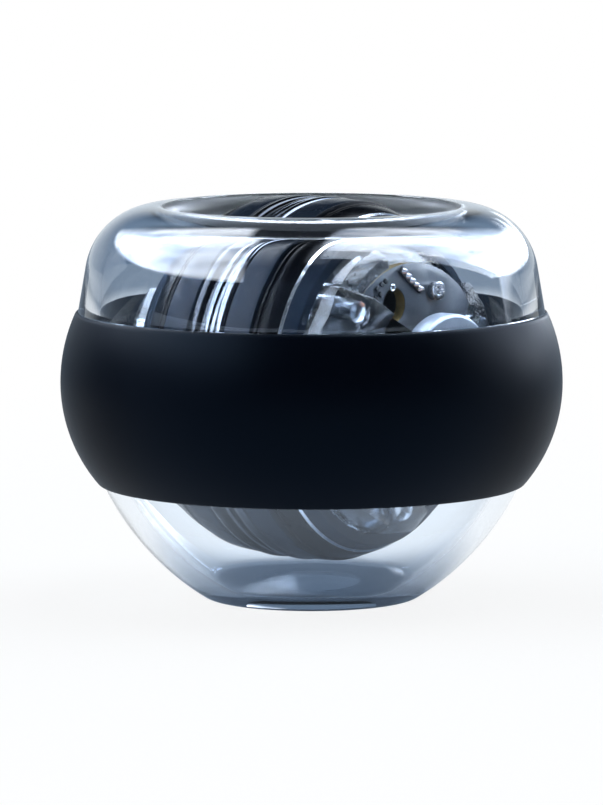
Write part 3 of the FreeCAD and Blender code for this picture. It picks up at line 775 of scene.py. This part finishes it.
shiny_white = figured(nodes, links, "MULTIPLY", shiny, clear_of_painted_shadow)
seen_white = spread(nodes, links, from_ball, white_reach, (0.86, 1), smooth=True)
white_share = figured(
    nodes, links, "MULTIPLY_ADD", ray["Is Camera Ray"], seen_white, shiny_white
)
# A glow brighter than white on the floor just in front of the ball, seen only by glossy rays:
# painted reflected light
ahead = measured(nodes, links, where, towards_camera)
in_front = spread(nodes, links, ahead, front_reach, (0, 1), smooth=True)
painted_glow_ahead = figured(nodes, links, "MULTIPLY", in_front, ray["Is Glossy Ray"])
mirrored = blended(nodes, links, painted_glow_ahead, reached, (1.6, 1.9, 2.3))
glow = nodes.new("ShaderNodeEmission")
links.new(blended(nodes, links, shiny, (1, 1, 1), mirrored), glow.inputs["Color"])
mixed = nodes.new("ShaderNodeMixShader")
links.new(white_share, mixed.inputs["Fac"])
links.new(shader.outputs["BSDF"], mixed.inputs[1])
links.new(glow.outputs["Emission"], mixed.inputs[2])
links.new(mixed.outputs["Shader"], nodes["Material Output"].inputs["Surface"])

floor_shape = bmesh.new()
bmesh.ops.create_circle(floor_shape, cap_ends=True, segments=96, radius=floor_radius)
floor = finished("floor", floor_shape, "floor_paint")


# Studio
# A large cloudy panel high to each side of the camera, with a dark gap between them, in a cool
# dim room that is pale low down behind the ball. The clear shells mirror the panels' outlines.
world = bpy.data.worlds.new("studio")
bpy.context.scene.world = world
world.use_nodes = True
nodes, links = world.node_tree.nodes, world.node_tree.links
direction = nodes.new("ShaderNodeTexCoord")
level = nodes.new("ShaderNodeMapping")
level.vector_type = "POINT"
level.inputs["Rotation"].default_value = (0, 0, -CAMERA_AZIMUTH)
links.new(direction.outputs["Generated"], level.inputs["Vector"])
apart = nodes.new("ShaderNodeSeparateXYZ")
links.new(level.outputs["Vector"], apart.inputs["Vector"])
sideways = figured(nodes, links, "ABSOLUTE", apart.outputs["X"])
forward = figured(nodes, links, "MULTIPLY", apart.outputs["Y"], -1)
upward = apart.outputs["Z"]
ray = nodes.new("ShaderNodeLightPath").outputs
mirrored = ray["Is Glossy Ray"]
through = ray["Is Transmission Ray"]


def past_line(to_right, to_front, up, start, edge=0.05):
    """1 past a line across the sky, from a direction's shares to the right, front and up."""
    reach = measured(nodes, links, level.outputs["Vector"], (to_right, -to_front, up))
    return spread(nodes, links, reach, (start, start + edge), (0, 1), smooth=True)


def within(first, *others):
    """Where all of the masks hold."""
    for other in others:
        first = figured(nodes, links, "MULTIPLY", first, other)
    return first


front_tone = blended(nodes, links, through, (0.011, 0.014, 0.019), (0.13, 0.18, 0.25))
side_tone = blended(nodes, links, through, (0.13, 0.19, 0.28), (0.2, 0.29, 0.41))
front_share = spread(nodes, links, forward, (-0.1, 0.7), (0, 1), smooth=True)
surround = blended(nodes, links, front_share, side_tone, front_tone)

back_share = spread(nodes, links, forward, (-0.55, -0.8), (0, 1), smooth=True)
low_share = spread(nodes, links, upward, (0.15, 0.42), (1, 0), smooth=True)
rear_tone = blended(nodes, links, through, (0.86, 0.94, 1.0), (0.13, 0.19, 0.28))
surround = blended(nodes, links, within(back_share, low_share), surround, rear_tone)

dark_gap = within(
    spread(nodes, links, sideways, (0.15, 0.5), (1, 0), smooth=True),
    past_line(0, 0, 1, 0.3, edge=0.2),
    mirrored,
)
surround = blended(nodes, links, dark_gap, surround, (0.01, 0.012, 0.016))

clouds = nodes.new("ShaderNodeTexNoise")
clouds.inputs["Scale"].default_value = 2.6
clouds.inputs["Detail"].default_value = 3
links.new(level.outputs["Vector"], clouds.inputs["Vector"])
cloudy = spread(nodes, links, clouds.outputs["Fac"], (0.36, 0.6), (0, 1), smooth=True)
mirrored_light = blended(nodes, links, cloudy, (5.0, 6.0, 7.8), (15.0, 16.2, 18.0))
panel_light = blended(nodes, links, through, (1.9, 2.1, 2.3), (1.15, 1.3, 1.45))
panel_light = blended(nodes, links, mirrored, panel_light, mirrored_light)

right_panel = within(
    past_line(1, 0.04, 0, 0.05), past_line(0, -1.3, 1, 0.54), past_line(0, 0, 1, 0.07)
)
left_panel = within(past_line(-1, -0.35, 0, 0.31), past_line(0, 0, 1, 0.32))
panels = figured(nodes, links, "ADD", right_panel, left_panel)
lit = within(panels, past_line(0, 1, -0.6, -1.08, edge=0.1))
room = blended(nodes, links, lit, surround, panel_light)
backdrop = blended(nodes, links, ray["Is Camera Ray"], room, (1, 1, 1))
links.new(backdrop, nodes["Background"].inputs["Color"])
nodes["Background"].inputs["Strength"].default_value = 1

CAMERA_DISTANCE = 0.85
PIXELS_PER_MM = 7.157
FRAME_HEIGHT = 805
SENSOR = 36.0
AIM_HEIGHT = 27.4
AIM_LEFT = 1.4
level_share = math.cos(CAMERA_ELEVATION)
back = Vector([share * level_share for share in towards_camera[:2]] + [math.sin(CAMERA_ELEVATION)])
to_right = Vector((math.cos(CAMERA_AZIMUTH), math.sin(CAMERA_AZIMUTH), 0))
aim = Vector((0, 0, AIM_HEIGHT * MM)) - to_right * AIM_LEFT * MM
camera = bpy.data.objects.new("camera", bpy.data.cameras.new("camera"))
bpy.context.scene.collection.objects.link(camera)
camera.data.sensor_width = SENSOR
camera.data.lens = PIXELS_PER_MM * CAMERA_DISTANCE / MM * SENSOR / FRAME_HEIGHT
camera.data.clip_start = 0.1
camera.data.clip_end = 10
camera.rotation_mode = "QUATERNION"
camera.location = aim + back * CAMERA_DISTANCE
camera.rotation_quaternion = (-back).to_track_quat("-Z", "Y")
bpy.context.scene.camera = camera
bpy.context.scene.view_settings.view_transform = "Standard"
